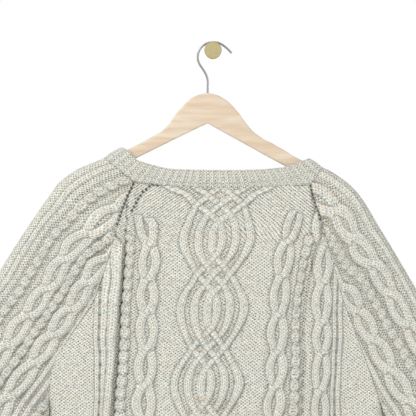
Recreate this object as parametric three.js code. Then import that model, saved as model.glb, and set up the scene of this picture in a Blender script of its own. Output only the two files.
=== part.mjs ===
// Cable knit raglan sweater on a wooden hanger, hung on a round wall peg.
//
// Millimetres, +Z up. The origin is the middle of the peg's wall face, and the wall is the plane
// Y = 0. The sweater's back faces -Y and its front faces the wall. "Left" is the -X side.
//
// Each knitted piece is a wall of cloth: a grid of points on its outer skin, moved in along the
// grid's own normals by the thickness of the cloth. The rows of a grid are sections of the
// garment, worked out from the tables below. The two raglan seams, the side seams and the
// sleeve seams share their points, so that neighbouring pieces meet edge to edge.

import * as THREE from "three";

// ---- Driving dimensions -------------------------------------------------------------------

const clothThickness = 3;
const seamGap = 0.3;
const hangPlaneY = -46;
const columnStep = 2;
const frontNeckDrop = 0.085;
const frontNeckDepth = 54;
const riseRun = 25;
const ribFlatness = 0.35;
const bandBulge = 1;
const roundColumns = 3;
const flatColumns = 6;

const peg = {
  discRadius: 13.4, discDepth: 8, shankRadius: 10, footRadius: 12.5, footDepth: 5,
  backEdge: 0.6, frontEdge: 1, crown: 0.4, sides: 32,
};
const wire = { radius: 1.6, sides: 10, steps: 44 };
const board = { thickness: 12, arcPoints: 5, tipLength: 4, tipHalfHeight: 7, tipRoundness: 0.7 };

// ---- Tables -------------------------------------------------------------------------------

function table(columnNames, rows) {
  const names = columnNames.split(" ");
  return rows.map((row) => Object.fromEntries(names.map((name, i) => [name, row[i]])));
}

// Sleeve sections from the neck to the cuff's end. topX, topZ: the fold along the sleeve's upper
// edge. seamX, seamZ: the raglan seam, and below the underarm the sleeve's lower edge.
// seamDepth: how far the seam stands off the hanger's plane. turn: how far round the cloth has
// turned there, in degrees. depth: half the sleeve's thickness. fold: radius of the upper edge.
const sleeveColumns = "topX topZ seamX seamZ seamDepth turn depth fold";
const sleeveSections = {
  left: table(sleeveColumns, [
    [-166, -165, -121, -201, 15, 0, 15, 12],
    [-187, -174, -130, -221, 17, 0, 16, 12],
    [-210, -184, -139, -245, 19, 0, 17, 12],
    [-235, -202, -147, -273, 21, 0, 18, 12],
    [-248, -219, -156, -305, 23, 0, 19, 13],
    [-270, -250, -168, -343, 24, 0, 20, 13],
    [-300, -295, -185, -388, 24, 0, 21, 14],
    [-333, -347, -213, -430, 23, 0, 21, 14],
    [-372, -402, -242, -477, 21, 0, 21, 14],
    [-395, -434, -251, -522, 17, 25, 20, 14],
    [-418, -467, -254, -574, 0, 90, 18, 14],
    [-440, -503, -290, -604, 0, 90, 18, 14],
    [-462, -540, -330, -638, 0, 90, 18, 14],
    [-486, -585, -366, -668, 0, 90, 18, 14],
    [-508, -628, -402, -694, 0, 90, 17, 14],
    [-527, -668, -430, -712, 0, 90, 16, 14],
    [-535, -690, -446, -728, 0, 90, 13, 12],
    [-552, -735, -463, -771, 0, 90, 12, 11],
  ]),
  right: table(sleeveColumns, [
    [168, -180, 149, -206, 15, 0, 14, 12],
    [180, -187, 154, -226, 16, 0, 15, 12],
    [194, -196, 163, -250, 17, 0, 16, 12],
    [207, -205, 171, -277, 18, 0, 17, 12],
    [226, -226, 179, -308, 19, 0, 18, 13],
    [251, -268, 189, -345, 20, 0, 20, 14],
    [277, -311, 201, -388, 21, 0, 22, 15],
    [304, -357, 217, -430, 21, 0, 23, 16],
    [333, -407, 235, -478, 20, 0, 24, 16],
    [360, -453, 252, -526, 17, 25, 23, 17],
    [388, -500, 268, -578, 0, 90, 22, 18],
    [409, -538, 284, -612, 0, 90, 22, 18],
    [430, -576, 307, -646, 0, 90, 21, 18],
    [449, -614, 332, -676, 0, 90, 20, 17],
    [466, -653, 358, -705, 0, 90, 18, 16],
    [483, -692, 385, -733, 0, 90, 16, 14],
    [491, -714, 402, -750, 0, 90, 13, 12],
    [506, -757, 416, -791, 0, 90, 12, 11],
  ]),
};
const underarm = 10;
const cuffJoin = 15;

// Body sections. The first eleven end at the raglan seams, and the rest at the side seams, whose
// places are given here. axisX, axisZ: the middle of the panel. depth: half the body's
// thickness at its middle. side: radius of the rounded side.
const bodySections = table("axisX axisZ depth side leftX leftZ rightX rightZ", [
  [12, -211, 16, 20],
  [11, -231, 17, 20],
  [10, -254, 18, 20],
  [9, -280, 20, 20],
  [8, -310, 22, 20],
  [5, -346, 24, 20],
  [3, -389, 25, 20],
  [-1, -431, 26, 20],
  [-7, -478, 27, 20],
  [-11, -525, 28, 20],
  [-14, -577, 28, 20],
  [-15, -625, 28, 20, -257, -622, 270, -628],
  [-16, -670, 27, 20, -259, -667, 271, -674],
  [-16, -710, 26, 20, -259, -707, 270, -715],
  [-16, -746, 25, 19, -256, -741, 267, -751],
  [-16, -767, 20, 15, -248, -762, 259, -772],
  [-16, -803, 19, 14, -246, -797, 257, -809],
]);
const ribJoin = 14;

// Columns across the back, from left to right. highX and lowX: their places at the neck and at
// the chest. rise: how far the cloth stands out there. The step between "pleat" and "under" is
// the deep pleat that laps over from the left, and "groove" is the narrow valley on the right.
const pleatLevels = { start: -290, full: -345 };
const chestLevel = -515;
const neckLevel = -215;
const furthestLean = 1.3;
const backColumns = table("name highX lowX rise", [
  ["outer_left", -238, -238, 2],
  ["wedge_left", -218, -218, 4],
  ["wedge_middle", -198, -198, 5],
  ["dots_left", -172, -174, 6],
  ["pleat_top", -156, -159, 6],
  ["pleat", -145, -153, 5],
  ["pleat_foot", -140, -150, 0],
  ["under", -135, -146, -3],
  ["beads_left", -126, -139, -1],
  ["chain_left_outer", -108, -116, 1],
  ["chain_left", -96, -104, 1],
  ["chain_left_inner", -80, -88, 0],
  ["plain_left", -55, -65, -1],
  ["diamond_left", -25, -42, 0],
  ["axis", 12, -11, 1],
  ["diamond_right", 50, 25, 0],
  ["plain_right", 72, 55, -1],
  ["chain_right_inner", 92, 80, 0],
  ["chain_right", 113, 99, 1],
  ["beads_right", 127, 122, 1],
  ["groove_near", 136, 134, 0],
  ["groove", 140, 139, -6],
  ["groove_far", 144, 144, 1],
  ["chain_far", 172, 167, 3],
  ["dots_right", 196, 190, 2],
  ["wedge_right", 218, 218, 1],
  ["outer_right", 244, 244, 0],
]);
const frontColumns = table("name highX lowX rise", [
  ["outer_left", -225, -225, 0],
  ["wedge_left", -195, -195, 3],
  ["fold_left", -165, -168, 5],
  ["valley_left", -140, -146, -3],
  ["chain_left", -102, -110, 1],
  ["plain_left", -62, -72, 0],
  ["diamond_left", -25, -42, 0],
  ["axis", 12, -11, 1],
  ["diamond_right", 50, 25, 0],
  ["plain_right", 82, 68, 0],
  ["chain_right", 118, 108, 1],
  ["valley_right", 146, 143, -4],
  ["fold_right", 176, 172, 4],
  ["wedge_right", 208, 205, 2],
  ["outer_right", 238, 238, 0],
]);

// The neckband's upper edge, corner to corner. depth: how far it stands off the hanger's plane.
const bandTop = {
  back: table("x z depth", [
    [-139, -151, 0], [-136, -152, 8], [-129, -154, 11.5], [-118, -167, 13], [-104, -173, 14],
    [-93, -176, 14], [-72, -181, 15], [-52, -183, 15], [0, -184, 16], [41, -184, 16],
    [75, -183, 15], [87, -182, 15], [111, -179, 14], [129, -173, 13], [139, -169, 11.5],
    [145, -168, 8], [147, -168, 0],
  ]),
  front: table("x z depth", [
    [-139, -151, 0], [-137, -155, 9], [-131, -168, 12], [-118, -189, 13], [-95, -212, 14],
    [-60, -230, 15], [5, -238, 16], [70, -231, 15], [105, -215, 14], [128, -195, 13],
    [140, -178, 11.5], [145, -170, 8], [147, -168, 0],
  ]),
};

// Hanger outline over the stretch between the shoulders. The arms then run on under the cloth.
const hangerOutline = table("x top bottom", [
  [-128, -151.2, -171.0],
  [-104, -139.6, -159.2],
  [-79, -127.1, -147.0],
  [-62, -106.7, -138.6],
  [-46, -86.3, -130.8],
  [-35, -74.4, -125.4],
  [-23, -68.4, -119.5],
  [-8, -66.0, -112.6],
  [5, -68.4, -120.1],
  [14, -74.4, -125.1],
  [25, -83.8, -131.1],
  [40, -106.7, -139.4],
  [61, -127.1, -150.9],
  [98, -147.6, -171.3],
  [134, -167.8, -191.0],
]);
const armHeight = 22;
const hiddenArmX = { left: [-226, -214, -196, -176, -150], right: [156, 172, 186, 198] };

// The hook's route from the hanger's top to its end beyond the peg, in the hanger's plane.
const hookRoute = table("x z", [
  [-8.1, -57], [-8.1, -47], [-10.5, -38], [-15.5, -29.5], [-20.8, -21.5], [-23.4, -13],
  [-22.2, -3], [-17.2, 5.2], [-9.2, 10.6], [0, 12.2], [9.4, 10.9], [19.5, 4.4], [28.7, -4.6],
]);

// ---- Small geometry helpers ---------------------------------------------------------------

const lerp = THREE.MathUtils.lerp;
const smooth = (t) => THREE.MathUtils.smoothstep(t, 0, 1);
const radians = THREE.MathUtils.degToRad;

// A point's place on a polyline of {x, z} at the share t of its length.
function along(points, t) {
  const lengths = [0];
  for (let i = 1; i < points.length; i += 1) {
    const step = Math.hypot(points[i].x - points[i - 1].x, points[i].z - points[i - 1].z);
    lengths.push(lengths[i - 1] + step);
  }
  const wanted = t * lengths[lengths.length - 1];
  let i = 1;
  while (i < points.length - 1 && lengths[i] < wanted) i += 1;
  const share = (wanted - lengths[i - 1]) / (lengths[i] - lengths[i - 1]);
  const from = points[i - 1];
  const to = points[i];
  const place = {};
  for (const key of Object.keys(from)) place[key] = lerp(from[key], to[key], share);
  return place;
}

// Unit normals of a grid of points, from its neighbouring points.
function gridNormals(grid, ring = false) {
  const rows = grid.length;
  const columns = grid[0].length;
  return grid.map((row, j) => row.map((point, i) => {
    const above = grid[Math.max(j - 1, 0)][i];
    const below = grid[Math.min(j + 1, rows - 1)][i];
    const before = ring ? row[(i + columns - 1) % columns] : row[Math.max(i - 1, 0)];
    const after = ring ? row[(i + 1) % columns] : row[Math.min(i + 1, columns - 1)];
    const across = after.clone().sub(before);
    const down = below.clone().sub(above);
    return down.cross(across).normalize();
  }));
}

// A closed wall of cloth between a grid of outer points and the same grid moved in. With ring,
// the last column joins the first.
function clothWall(grid, normals, ring = false) {
  const rows = grid.length;
  const columns = grid[0].length;
  const points = [];
  grid.forEach((row) => row.forEach((point) => points.push(point)));
  grid.forEach((row, j) => row.forEach((point, i) => {
    points.push(point.clone().addScaledVector(normals[j][i], -clothThickness));
  }));
  const outer = (j, i) => j * columns + (i % columns);
  const inner = (j, i) => rows * columns + outer(j, i);
  const faces = [];
  const quad = (a, b, c, d) => faces.push(a, b, c, a, c, d);
  const lastColumn = ring ? columns : columns - 1;
  for (let j = 0; j < rows - 1; j += 1) {
    for (let i = 0; i < lastColumn; i += 1) {
      quad(outer(j, i), outer(j, i + 1), outer(j + 1, i + 1), outer(j + 1, i));
      quad(inner(j, i), inner(j + 1, i), inner(j + 1, i + 1), inner(j, i + 1));
    }
    if (!ring) {
      quad(outer(j, 0), outer(j + 1, 0), inner(j + 1, 0), inner(j, 0));
      quad(outer(j, columns - 1), inner(j, columns - 1), inner(j + 1, columns - 1),
        outer(j + 1, columns - 1));
    }
  }
  for (let i = 0; i < lastColumn; i += 1) {
    quad(outer(0, i), inner(0, i), inner(0, i + 1), outer(0, i + 1));
    quad(outer(rows - 1, i), outer(rows - 1, i + 1), inner(rows - 1, i + 1), inner(rows - 1, i));
  }
  return solid(points, faces);
}

// A geometry from points and triangles, turned so that its faces point out.
function solid(points, faces) {
  let volume = 0;
  for (let i = 0; i < faces.length; i += 3) {
    const [a, b, c] = [points[faces[i]], points[faces[i + 1]], points[faces[i + 2]]];
    volume += a.dot(b.clone().cross(c));
  }
  const turned = volume < 0 ? faces.slice().reverse() : faces;
  const geometry = new THREE.BufferGeometry().setFromPoints(points);
  geometry.setIndex(turned);
  geometry.computeVertexNormals();
  return geometry;
}

// Moves an edge row or column of a grid back from its seam by half the gap.
function pullBack(edge, inside) {
  edge.forEach((point, i) => {
    const toInside = inside[i].clone().sub(point);
    point.addScaledVector(toInside, (seamGap / 2) / toInside.length());
  });
}

// ---- Seams --------------------------------------------------------------------------------

// The raglan seams. The front ones start lower, where the front neck is cut lower.
function raglanSeam(side, face) {
  const points = sleeveSections[side].slice(0, underarm + 1).map((row) => (
    { x: row.seamX, z: row.seamZ, depth: row.seamDepth, turn: row.turn }
  ));
  if (face === "back") return points;
  return points.map((_, k) => along(points, lerp(frontNeckDrop, 1, k / underarm)));
}

const faceSign = { back: -1, front: 1 };

function at(x, z, depth, face) {
  return new THREE.Vector3(x, hangPlaneY + faceSign[face] * depth, z);
}

// ---- Body ---------------------------------------------------------------------------------

// How much lower the middle of the front is than the middle of the back, at a section.
function frontNeckLine(level) {
  const share = THREE.MathUtils.clamp(1 - level / underarm, 0, 1);
  return frontNeckDepth * share * share;
}

// The outer points of one body section, from the left seam to the right seam. Near the seams
// the columns' rises fade out over riseRun, and the ribbed hem is flatter than the panel.
function bodyRow(level, columns, face) {
  const section = bodySections[level];
  const drop = face === "front" ? frontNeckLine(level) : 0;
  const ends = ["left", "right"].map((side) => {
    if (level <= underarm) return raglanSeam(side, face)[level];
    return { x: section[`${side}X`], z: section[`${side}Z`], depth: 0, turn: 90 };
  });
  const lean = THREE.MathUtils.clamp(
    (section.axisZ - neckLevel) / (chestLevel - neckLevel), 0, furthestLean);
  const pleat = smooth((section.axisZ - pleatLevels.start)
    / (pleatLevels.full - pleatLevels.start));
  const flatness = level > ribJoin ? ribFlatness : 1;
  const [left, right] = ends;
  const heightAt = (x) => {
    const half = x < section.axisX ? left : right;
    const share = THREE.MathUtils.clamp((x - section.axisX) / (half.x - section.axisX), 0, 1);
    return lerp(section.axisZ - drop, half.z, share * share);
  };
  const turned = ends.map((end) => radians(end.turn));
  const flatEnds = ends.map((end, n) => (
    end.x + (n === 0 ? 1 : -1) * section.side * Math.sin(turned[n])
  ));
  const sideDepths = ends.map((end, n) => (
    end.depth + section.side * (1 - Math.cos(turned[n]))
  ));
  const count = columns.length;
  const placed = columns.map((column, i) => {
    const wanted = lerp(column.highX, column.lowX, lean);
    const fromLeft = flatEnds[0] + columnStep * (i + 1);
    const fromRight = flatEnds[1] - columnStep * (count - i);
    return { x: Math.min(Math.max(wanted, fromLeft), fromRight), rise: column.rise };
  });
  const sidePoint = (n, share) => {
    const angle = turned[n] * share;
    const outward = n === 0 ? -1 : 1;
    const flat = turned[n] === 0 ? outward * columnStep * (share - 1) / roundColumns : 0;
    const x = flatEnds[n] + outward * section.side * Math.sin(angle) + flat;
    const depth = sideDepths[n] - section.side * (1 - Math.cos(angle));
    return at(x, heightAt(x), depth, face);
  };
  const points = [];
  for (let n = roundColumns; n >= 0; n -= 1) points.push(sidePoint(0, n / roundColumns));
  placed.forEach(({ x, rise }) => {
    const n = x < section.axisX ? 0 : 1;
    const span = Math.abs(flatEnds[n] - section.axisX);
    const distance = Math.abs(x - flatEnds[n]);
    const base = lerp(sideDepths[n], section.depth, smooth(distance / span));
    const near = smooth(distance / riseRun);
    points.push(at(x, heightAt(x), base + rise * pleat * near * flatness, face));
  });
  for (let n = 0; n <= roundColumns; n += 1) points.push(sidePoint(1, n / roundColumns));
  return points;
}

function bodyGrid(face) {
  const columns = face === "back" ? backColumns : frontColumns;
  const grid = bodySections.map((_, level) => bodyRow(level, columns, face));
  if (face === "front") grid.forEach((row) => row.reverse());
  return grid;
}

// ---- Sleeves ------------------------------------------------------------------------------

// Half of a sleeve section, from the upper fold to the seam, on one face of the garment.
function sleeveHalf(section, seam, face) {
  const top = new THREE.Vector2(section.topX, section.topZ);
  const low = new THREE.Vector2(seam.x, seam.z);
  const width = top.distanceTo(low);
  const turned = radians(seam.turn);
  const lowRadius = section.depth;
  const flatEnd = width - lowRadius * Math.sin(turned);
  const flatDepth = seam.depth + lowRadius * (1 - Math.cos(turned));
  const place = (distance, depth) => {
    const spot = top.clone().lerp(low, distance / width);
    return at(spot.x, spot.y, depth, face);
  };
  const points = [];
  for (let n = 0; n < roundColumns; n += 1) {
    const angle = (Math.PI / 2) * (n / roundColumns);
    points.push(place(section.fold * (1 - Math.cos(angle)), section.fold * Math.sin(angle)));
  }
  const lastFlat = turned === 0 ? flatEnd - columnStep : flatEnd;
  for (let n = 0; n <= flatColumns; n += 1) {
    const share = n / flatColumns;
    const bulge = (section.depth - section.fold) * Math.sin(Math.PI * share * 0.5);
    const depth = lerp(section.fold + bulge, flatDepth, smooth(share));
    points.push(place(lerp(section.fold, lastFlat, share), depth));
  }
  for (let n = 1; n <= roundColumns; n += 1) {
    const angle = turned * (n / roundColumns);
    const flat = turned === 0 ? columnStep * (n / roundColumns) : 0;
    points.push(place(lastFlat + lowRadius * Math.sin(angle) + flat,
      flatDepth - lowRadius * (1 - Math.cos(angle))));
  }
  return points;
}

// A whole sleeve with its cuff: rows from the neck to the cuff's end, columns from the back seam
// over the upper fold to the front seam.
function sleeveGrid(side) {
  const seams = { back: raglanSeam(side, "back"), front: raglanSeam(side, "front") };
  const grid = sleeveSections[side].map((section, k) => {
    const lower = { x: section.seamX, z: section.seamZ, depth: 0, turn: 90 };
    const back = sleeveHalf(section, seams.back[k] ?? lower, "back");
    const front = sleeveHalf(section, seams.front[k] ?? lower, "front");
    const row = [...back.reverse(), ...front.slice(1)];
    return side === "left" ? row.reverse() : row;
  });
  return grid;
}

// ---- Making the pieces --------------------------------------------------------------------

const grids = {
  back: bodyGrid("back"),
  front: bodyGrid("front"),
  left: sleeveGrid("left"),
  right: sleeveGrid("right"),
};
const normals = Object.fromEntries(
  Object.entries(grids).map(([name, grid]) => [name, gridNormals(grid)]));

// Pieces that meet at a seam share their normals there. An edge is a grid and its first (0) or
// last (-1) column.
function shareNormals(edges, from, to) {
  for (let k = from; k <= to; k += 1) {
    const meeting = edges.map(([grid, column]) => normals[grid][k].at(column));
    const shared = new THREE.Vector3();
    meeting.forEach((normal) => shared.add(normal));
    meeting.forEach((normal) => normal.copy(shared).normalize());
  }
}

// Columns of each grid run from left to right as seen from outside the garment: the back from
// its left seam, the front from its right seam, the left sleeve from the front seam and the
// right sleeve from the back seam.
const edges = {
  back: { left: ["back", 0], right: ["back", -1] },
  front: { left: ["front", -1], right: ["front", 0] },
  sleeveBack: { left: ["left", -1], right: ["right", 0] },
  sleeveFront: { left: ["left", 0], right: ["right", -1] },
};
const lastBodyRow = bodySections.length - 1;
const lastSleeveRow = sleeveSections.left.length - 1;
for (const side of ["left", "right"]) {
  const [back, front] = [edges.back[side], edges.front[side]];
  const [sleeveBack, sleeveFront] = [edges.sleeveBack[side], edges.sleeveFront[side]];
  shareNormals([back, sleeveBack], 0, underarm - 1);
  shareNormals([front, sleeveFront], 0, underarm - 1);
  shareNormals([back, front, sleeveBack, sleeveFront], underarm, underarm);
  shareNormals([back, front], underarm + 1, lastBodyRow);
  shareNormals([sleeveBack, sleeveFront], underarm + 1, lastSleeveRow);
}

// The neckband's rows: its lower edge follows the top rows of the four pieces.
function neckbandGrid() {
  const lower = [];
  const lowerNormals = [];
  const rimOf = { back: [], front: [] };
  const addEdge = (name, from, to, face) => {
    for (let i = from; i < to; i += 1) {
      lower.push(grids[name][0][i].clone());
      lowerNormals.push(normals[name][0][i].clone());
      rimOf[face].push(lower.length - 1);
    }
  };
  const sleeveMiddle = (grids.left[0].length - 1) / 2;
  const sleeveLast = grids.left[0].length - 1;
  addEdge("left", sleeveMiddle, sleeveLast, "back");
  addEdge("back", 0, grids.back[0].length - 1, "back");
  addEdge("right", 0, sleeveMiddle + 1, "back");
  rimOf.front.push(rimOf.back.at(-1));
  addEdge("right", sleeveMiddle + 1, sleeveLast, "front");
  addEdge("front", 0, grids.front[0].length - 1, "front");
  addEdge("left", 0, sleeveMiddle, "front");
  const upper = lower.map(() => null);
  for (const face of ["back", "front"]) {
    const indices = rimOf[face];
    const lengths = [0];
    for (let i = 1; i < indices.length; i += 1) {
      lengths.push(lengths[i - 1] + lower[indices[i]].distanceTo(lower[indices[i - 1]]));
    }
    const curve = new THREE.CatmullRomCurve3(
      bandTop[face].map((row) => at(row.x, row.z, row.depth, face)), false, "centripetal");
    const closing = face === "front"
      ? lower[indices.at(-1)].distanceTo(lower[0]) : 0;
    const total = lengths.at(-1) + closing;
    indices.forEach((index, i) => {
      const share = lengths[i] / total;
      upper[index] = curve.getPointAt(face === "back" ? share : 1 - share);
    });
  }
  const middle = lower.map((point, i) => (
    point.clone().lerp(upper[i], 0.5).addScaledVector(lowerNormals[i], bandBulge)
  ));
  return { grid: [upper, middle, lower], lowerNormals };
}

const cloth = new THREE.MeshStandardMaterial({ color: 0xd0d2c4, roughness: 0.95, metalness: 0 });
const wood = new THREE.MeshStandardMaterial({ color: 0xe9d8bb, roughness: 0.55, metalness: 0 });
const steel = new THREE.MeshStandardMaterial({ color: 0xa8aaac, roughness: 0.3, metalness: 1 });
const brass = new THREE.MeshStandardMaterial({ color: 0xc5ba8d, roughness: 0.45, metalness: 0.9 });

const garment = new THREE.Group();

function addMesh(name, geometry, material) {
  const mesh = new THREE.Mesh(geometry, material.clone());
  mesh.name = name;
  garment.add(mesh);
}

// Cuts rows out of a grid, pulls every edge back from its seam and adds the wall as a mesh.
function addCloth(name, gridName, fromRow, toRow) {
  const grid = grids[gridName].slice(fromRow, toRow + 1).map((row) => row.map((p) => p.clone()));
  const cut = normals[gridName].slice(fromRow, toRow + 1);
  const column = (i) => grid.map((row) => row.at(i));
  pullBack(column(0), column(1));
  pullBack(column(-1), column(-2));
  pullBack(grid[0], grid[1]);
  pullBack(grid.at(-1), grid.at(-2));
  addMesh(name, clothWall(grid, cut), cloth);
}

addCloth("back", "back", 0, ribJoin);
addCloth("front", "front", 0, ribJoin);
addCloth("hem_rib_back", "back", ribJoin, lastBodyRow);
addCloth("hem_rib_front", "front", ribJoin, lastBodyRow);
for (const side of ["left", "right"]) {
  addCloth(`sleeve_${side}`, side, 0, cuffJoin);
  addCloth(`cuff_${side}`, side, cuffJoin, lastSleeveRow);
}

function addNeckband() {
  const { grid, lowerNormals } = neckbandGrid();
  const bandNormals = gridNormals(grid, true);
  bandNormals[2] = lowerNormals;
  pullBack(grid[2], grid[1]);
  addMesh("neckband", clothWall(grid, bandNormals, true), cloth);
}
addNeckband();

// ---- Hanger, hook and peg -----------------------------------------------------------------

// Height of a sleeve's upper fold above a place on a hidden arm, less the cloth and the gap.
function armTop(side, x) {
  const rows = sleeveSections[side];
  let k = 1;
  while (k < rows.length - 1 && Math.abs(rows[k].topX) < Math.abs(x)) k += 1;
  const share = (x - rows[k - 1].topX) / (rows[k].topX - rows[k - 1].topX);
  const slope = (rows[k].topZ - rows[k - 1].topZ) / (rows[k].topX - rows[k - 1].topX);
  const fold = lerp(rows[k - 1].topZ, rows[k].topZ, share);
  return fold - (clothThickness + seamGap) * Math.hypot(1, slope);
}

// The hanger is a board with rounded edges, lofted from the left tip to the right tip.
function hangerBoard() {
  const hidden = (side) => hiddenArmX[side].map((x) => (
    { x, top: armTop(side, x), bottom: armTop(side, x) - armHeight }
  ));
  const stations = [...hidden("left"), ...hangerOutline, ...hidden("right")];
  const radius = board.thickness / 2;
  const tip = (row, outward) => {
    const middle = (row.top + row.bottom) / 2;
    return {
      x: row.x + outward * board.tipLength,
      top: middle + board.tipHalfHeight,
      bottom: middle - board.tipHalfHeight,
      tip: true,
    };
  };
  stations.unshift(tip(stations[0], -1));
  stations.push(tip(stations.at(-1), 1));
  const points = [];
  for (const row of stations) {
    const r = row.tip ? radius * board.tipRoundness : radius;
    for (const [z, start] of [[row.top - r, 0], [row.bottom + r, Math.PI]]) {
      for (let n = 0; n < board.arcPoints; n += 1) {
        const angle = start + (Math.PI * n) / (board.arcPoints - 1);
        points.push(new THREE.Vector3(
          row.x, hangPlaneY + r * Math.cos(angle), z + r * Math.sin(angle)));
      }
    }
  }
  const ring = 2 * board.arcPoints;
  const faces = [];
  for (let j = 0; j < stations.length - 1; j += 1) {
    for (let i = 0; i < ring; i += 1) {
      const next = (i + 1) % ring;
      const [a, b] = [j * ring + i, j * ring + next];
      faces.push(a, b, b + ring, a, b + ring, a + ring);
    }
  }
  const last = (stations.length - 1) * ring;
  for (let i = 1; i < ring - 1; i += 1) {
    faces.push(0, i + 1, i);
    faces.push(last, last + i, last + i + 1);
  }
  return solid(points, faces);
}

function hookWire() {
  const hangerTop = Math.max(...hangerOutline.map((row) => row.top));
  const first = new THREE.Vector3(hookRoute[0].x, hangPlaneY, hangerTop + seamGap);
  const route = [first, ...hookRoute.map(({ x, z }) => new THREE.Vector3(x, hangPlaneY, z))];
  const path = new THREE.CatmullRomCurve3(route, false, "centripetal");
  const section = new THREE.Shape();
  section.absarc(0, 0, wire.radius, 0, 2 * Math.PI);
  return new THREE.ExtrudeGeometry(section, {
    steps: wire.steps, curveSegments: wire.sides, extrudePath: path,
  });
}

function pegLathe() {
  const discBack = hangPlaneY - wire.radius - seamGap;
  const discFront = discBack - peg.discDepth;
  const profile = [
    [0, 0],
    [peg.footRadius, 0],
    [peg.footRadius, peg.frontEdge - peg.footDepth],
    [peg.footRadius - peg.frontEdge, -peg.footDepth],
    [peg.shankRadius, -peg.footDepth],
    [peg.shankRadius, discBack],
    [peg.discRadius - peg.backEdge, discBack],
    [peg.discRadius, discBack - peg.backEdge],
    [peg.discRadius, discFront + peg.frontEdge],
    [peg.discRadius - peg.frontEdge, discFront],
    [0, discFront - peg.crown],
  ].reverse().map(([radius, y]) => new THREE.Vector2(radius, y));
  return new THREE.LatheGeometry(profile, peg.sides);
}

addMesh("hanger", hangerBoard(), wood);
addMesh("hanger_hook", hookWire(), steel);
addMesh("wall_peg", pegLathe(), brass);

export default garment;
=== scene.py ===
# Cable knit raglan sweater on a wooden hanger, hung from a round wall peg: its looks.
#
# Sizes are millimetres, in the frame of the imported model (+Z up, the wall is Y = 0 and the
# sweater's back faces -Y); mesh() turns them to metres. Each knitted piece is a surface made of
# sections, with its cables, ropes and ribs laid on it as strands, each at its own height.

import math
import bpy
import numpy as np
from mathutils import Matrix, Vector


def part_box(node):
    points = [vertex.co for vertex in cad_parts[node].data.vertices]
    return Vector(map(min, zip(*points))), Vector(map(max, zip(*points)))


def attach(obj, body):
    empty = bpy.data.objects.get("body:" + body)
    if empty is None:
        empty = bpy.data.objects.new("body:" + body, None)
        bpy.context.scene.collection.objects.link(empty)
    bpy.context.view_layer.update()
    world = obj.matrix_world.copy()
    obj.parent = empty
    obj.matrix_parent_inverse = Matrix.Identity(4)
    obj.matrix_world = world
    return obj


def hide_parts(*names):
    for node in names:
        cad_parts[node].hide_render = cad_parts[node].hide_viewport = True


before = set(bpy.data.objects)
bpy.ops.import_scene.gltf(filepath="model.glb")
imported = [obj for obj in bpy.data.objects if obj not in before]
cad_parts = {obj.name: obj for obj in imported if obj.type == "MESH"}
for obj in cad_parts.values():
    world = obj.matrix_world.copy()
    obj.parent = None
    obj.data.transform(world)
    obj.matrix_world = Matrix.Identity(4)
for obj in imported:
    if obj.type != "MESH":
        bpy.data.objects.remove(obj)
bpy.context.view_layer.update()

MM = 0.001
# The hanger's plane, through the middle of its board: the cloth lies on either side of it.
HANG_Y = (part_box("hanger")[0][1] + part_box("hanger")[1][1]) / 2 / MM
# The inner skin of the cloth: how far it lies behind the outer one, and how many rows and
# columns of the outer skin go to one of its own.
CLOTH = 3.0
INNER_STEP = 4

# One stitch of this Aran yarn, and how far the parts of the knitting stand out.
STITCH = 6.5
ROW = 4.7
CABLE_RISE = 3.3
CROSSING_LIFT = 1.7

# A column of the pattern that doesn't bend, and one that has no beginning.
STRAIGHT = ((0, 0),)
NO_START = -1e9


# ---- Curves and tables --------------------------------------------------------------------

def columns(names, rows):
    """A table with named columns, as arrays."""
    data = np.array(rows, dtype=float)
    return {name: data[:, i] for i, name in enumerate(names.split())}


def monotone(values, at):
    """Smooth curve through a column of values that never overshoots them."""
    values = np.asarray(values, dtype=float)
    steps = np.diff(values)
    slopes = np.zeros(len(values))
    before, after = steps[:-1], steps[1:]
    same = before * after > 0
    inner = np.zeros(len(before))
    inner[same] = 2 * before[same] * after[same] / (before[same] + after[same])
    slopes[1:-1] = inner
    slopes[0], slopes[-1] = steps[0], steps[-1]
    return hermite(values, slopes, at)


def flowing(values, at):
    """Smooth curve through a column of values, for outlines."""
    values = np.asarray(values, dtype=float)
    return hermite(values, np.gradient(values), at)


def hermite(values, slopes, at):
    at = np.clip(at, 0, len(values) - 1)
    i = np.minimum(np.floor(at).astype(int), len(values) - 2)
    t = at - i
    a, b = values[i], values[i + 1]
    bend = 3 * (b - a) - 2 * slopes[i] - slopes[i + 1]
    return a + t * (slopes[i] + t * (bend + t * (slopes[i] + slopes[i + 1] - 2 * (b - a))))


def smooth(t):
    t = np.clip(t, 0, 1)
    return t * t * (3 - 2 * t)


def lerp(a, b, t):
    return a + (b - a) * t


def run_of(points):
    """The distance along a line of points, up to each of them."""
    steps = np.linalg.norm(np.diff(points, axis=0), axis=1)
    return np.concatenate([[0], np.cumsum(steps)])


def bent(drift, down):
    """The shift across at each place, from a list of (down, shift across)."""
    return np.interp(down, *np.transpose(drift))


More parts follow.
